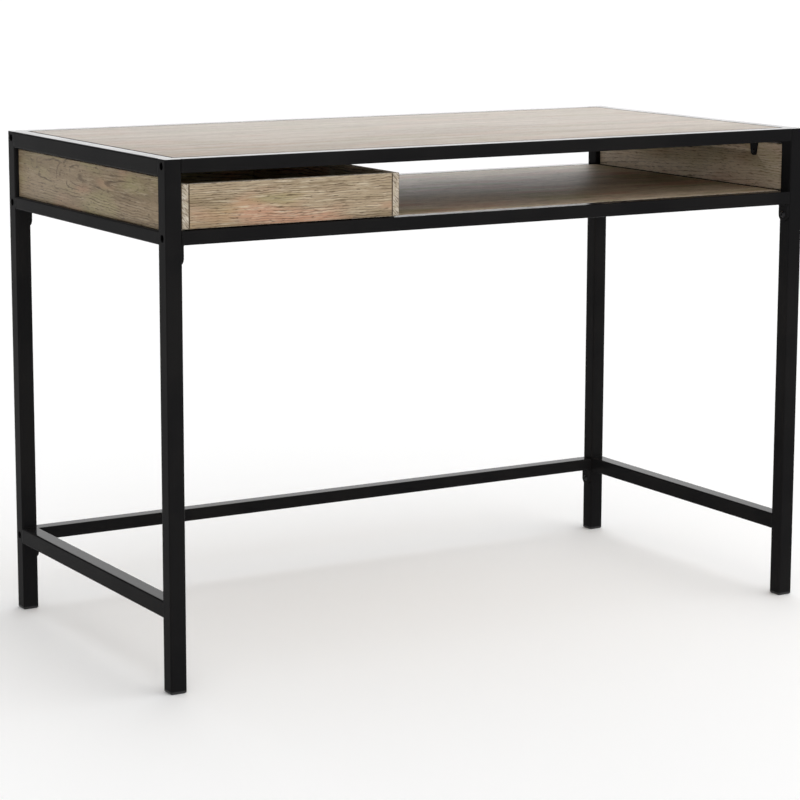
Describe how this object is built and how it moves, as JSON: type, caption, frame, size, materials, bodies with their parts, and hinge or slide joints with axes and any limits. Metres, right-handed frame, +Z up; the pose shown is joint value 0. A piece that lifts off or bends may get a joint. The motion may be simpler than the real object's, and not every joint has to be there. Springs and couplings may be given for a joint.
{
  "type": "writing desk with drawer",
  "caption": "Rectangular writing desk: black square-tube steel frame, inset wood top, open shelf below it with wood side panels, and a low open-topped drawer at the left of the shelf.",
  "frame": {"origin": "on the floor at the middle of the desk's outline", "axes": "+X along the front from left to right, as seen by a person who sits at the desk; +Y from the front to the back; +Z up"},
  "size_m": [1.12, 0.56, 0.76],
  "materials": {
    "frame_steel": "matt black powder coat",
    "oak_board": "weathered oak grain, matt",
    "drawer_board": "weathered oak grain, matt",
    "hardboard": "hardboard, wood print on its upper face",
    "foot_plastic": "moulded black",
    "guide_plastic": "moulded black",
    "nylon": "moulded off-white",
    "black_fastener": "black zinc",
    "zinc_fastener": "bright zinc"
  },
  "bodies": {
    "frame": {"left_front_leg": "frame_steel", "left_back_leg": "frame_steel", "right_front_leg": "frame_steel", "right_back_leg": "frame_steel", "left_front_foot": "foot_plastic", "left_back_foot": "foot_plastic", "right_front_foot": "foot_plastic", "right_back_foot": "foot_plastic", "left_top_rail": "frame_steel", "right_top_rail": "frame_steel", "left_lower_rail": "frame_steel", "right_lower_rail": "frame_steel", "left_stretcher": "frame_steel", "right_stretcher": "frame_steel", "front_top_rail": "frame_steel", "back_top_rail": "frame_steel", "front_lower_rail": "frame_steel", "back_lower_rail": "frame_steel", "back_stretcher": "frame_steel", "front_top_rail_left_end_plate": "frame_steel", "front_top_rail_right_end_plate": "frame_steel", "back_top_rail_left_end_plate": "frame_steel", "back_top_rail_right_end_plate": "frame_steel", "front_lower_rail_left_end_plate": "frame_steel", "front_lower_rail_right_end_plate": "frame_steel", "back_lower_rail_left_end_plate": "frame_steel", "back_lower_rail_right_end_plate": "frame_steel", "back_stretcher_left_end_plate": "frame_steel", "back_stretcher_right_end_plate": "frame_steel", "rail_bolts": "black_fastener", "tongue_bolts": "black_fastener", "panel_tab_screws": "black_fastener", "rail_bolt_washers": "zinc_fastener", "rivet_nuts": "zinc_fastener", "top_panel": "oak_board", "shelf_panel": "oak_board", "left_side_panel": "oak_board", "right_side_panel": "oak_board", "top_lugs": "frame_steel", "shelf_lugs": "frame_steel", "lug_screws": "zinc_fastener", "panel_pins": "zinc_fastener", "left_front_panel_tab": "frame_steel", "left_back_panel_tab": "frame_steel", "right_front_panel_tab": "frame_steel", "right_back_panel_tab": "frame_steel", "guide_rail": "nylon", "guide_front_stop": "guide_plastic", "guide_rear_stop": "guide_plastic", "guide_screws": "zinc_fastener"},
    "drawer": {"drawer_front": "drawer_board", "drawer_back": "drawer_board", "drawer_left_side": "drawer_board", "drawer_right_side": "drawer_board", "drawer_bottom": "hardboard", "drawer_screws": "zinc_fastener", "guide_shoe_screws": "zinc_fastener", "drawer_glide_pads": "nylon", "guide_shoe": "guide_plastic"}
  },
  "joints": [
    {"name": "drawer_slide", "type": "slide", "parent": "frame", "child": "drawer", "axis": [0, -1, 0], "range_m": [0, 0.295]}
  ]
}
